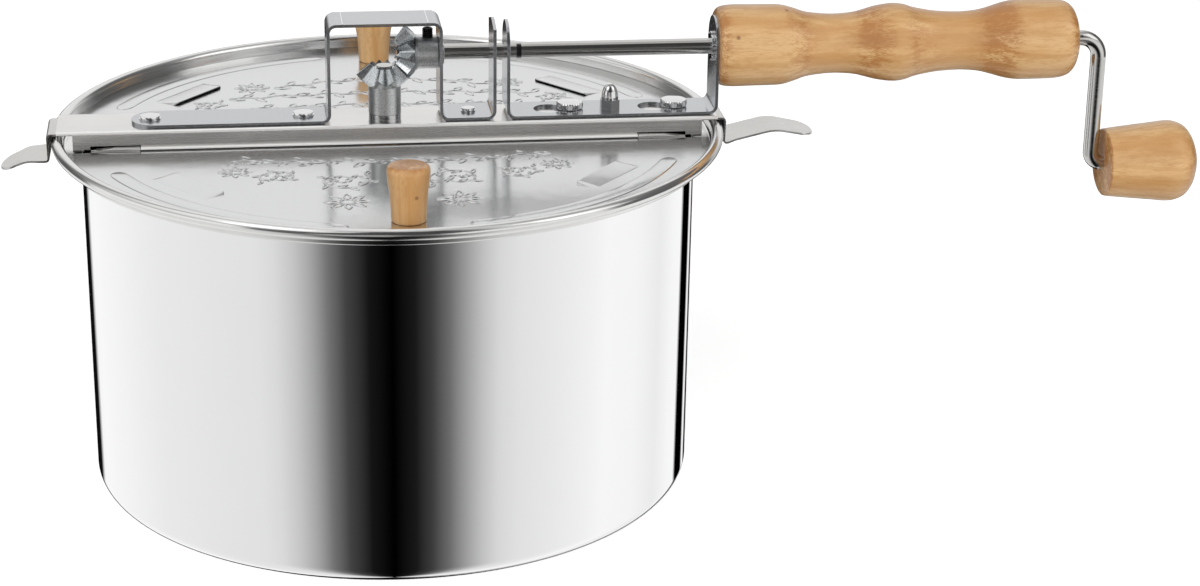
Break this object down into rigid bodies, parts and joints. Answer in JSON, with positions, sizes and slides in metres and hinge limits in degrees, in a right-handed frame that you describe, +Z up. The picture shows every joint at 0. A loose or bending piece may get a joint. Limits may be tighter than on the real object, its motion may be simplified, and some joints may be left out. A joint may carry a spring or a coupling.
{
  "type": "stovetop popcorn popper",
  "caption": "Steel pot with a split hinged lid, a wooden side handle and a hand crank that turns a stirring wire through miter gears.",
  "frame": {"origin": "centre of the pot's flat base, on the surface that it stands on", "axes": "+Z up along the pot's axis and the stirrer, +X along the crossbar towards the handle and crank, +Y to the rear lid"},
  "size_m": [0.4647, 0.254, 0.1814],
  "materials": {
    "polished_steel": "mirror-polished stainless steel",
    "satin_steel": "satin stainless steel, brushed along its length",
    "lid_steel": "bright bead-blasted stainless steel",
    "wire_steel": "drawn steel wire and rod, smooth",
    "zinc_strap": "zinc-plated steel strap, bluish satin",
    "spring_steel": "dull grey spring steel",
    "bright_fastener": "bright nickel plating",
    "gear_metal": "cast zinc alloy gear, zinc-plated",
    "black_screw": "black oxide",
    "maple": "turned hardwood, clear gloss lacquer"
  },
  "bodies": {
    "pot": {"pot": "polished_steel"},
    "lid_frame": {"crossbar": "satin_steel", "hinge_wire_front": "wire_steel", "hinge_wire_rear": "wire_steel", "gear_bracket": "zinc_strap", "handle_bracket": "zinc_strap", "bracket_rivets": "bright_fastener", "keyhole_studs": "bright_fastener", "lock_screw": "bright_fastener", "acorn_nut": "bright_fastener", "gear_washer": "bright_fastener", "clip_leaf_left": "spring_steel", "clip_leaf_right": "spring_steel", "handle_sleeve": "bright_fastener", "handle": "maple"},
    "crank": {"gear_shaft": "wire_steel", "drive_gear": "gear_metal", "set_screw": "black_screw", "gear_shaft_ring": "spring_steel", "crank_rod": "bright_fastener", "crank_knob_ring": "spring_steel"},
    "crank_grip": {"crank_knob": "maple"},
    "stirrer": {"driven_gear": "gear_metal", "stirrer_shaft": "wire_steel", "stirrer_ring": "spring_steel", "stirrer_wire": "wire_steel"},
    "front_lid": {"lid_front": "lid_steel", "lid_knob_front": "maple", "knob_screw_front": "bright_fastener"},
    "rear_lid": {"lid_rear": "lid_steel", "lid_knob_rear": "maple", "knob_screw_rear": "bright_fastener"},
    "left_clip": {"clip_lever_left": "spring_steel"},
    "right_clip": {"clip_lever_right": "spring_steel"}
  },
  "joints": [
    {"name": "lid_lift", "type": "slide", "parent": "pot", "child": "lid_frame", "axis": [0, 0, 1], "range_m": [0, 0.15]},
    {"name": "front_lid_hinge", "type": "hinge", "parent": "lid_frame", "child": "front_lid", "pos_m": [0, -0.0131, 0.13365], "axis": [-1, 0, 0], "range_deg": [0, 80]},
    {"name": "rear_lid_hinge", "type": "hinge", "parent": "lid_frame", "child": "rear_lid", "pos_m": [0, 0.0131, 0.13365], "axis": [1, 0, 0], "range_deg": [0, 80]},
    {"name": "crank_turn", "type": "hinge", "parent": "lid_frame", "child": "crank", "pos_m": [0, 0, 0.1657], "axis": [1, 0, 0], "continuous": true},
    {"name": "crank_knob_spin", "type": "hinge", "parent": "crank", "child": "crank_grip", "pos_m": [0.3, 0, 0.1144], "axis": [1, 0, 0], "continuous": true},
    {"name": "stirrer_turn", "type": "hinge", "parent": "lid_frame", "child": "stirrer", "pos_m": [-0.0018, 0, 0.1], "axis": [0, 0, 1], "continuous": true},
    {"name": "left_clip_flex", "type": "hinge", "parent": "lid_frame", "child": "left_clip", "pos_m": [-0.1245, 0, 0.1397], "axis": [0, 1, 0], "range_deg": [0, 10], "stiffness_Nm_per_rad": 0.3},
    {"name": "right_clip_flex", "type": "hinge", "parent": "lid_frame", "child": "right_clip", "pos_m": [0.1245, 0, 0.1397], "axis": [0, -1, 0], "range_deg": [0, 10], "stiffness_Nm_per_rad": 0.3}
  ],
  "couplings": [
    {"joint": "stirrer_turn", "follows": "crank_turn", "ratio": 1}
  ]
}
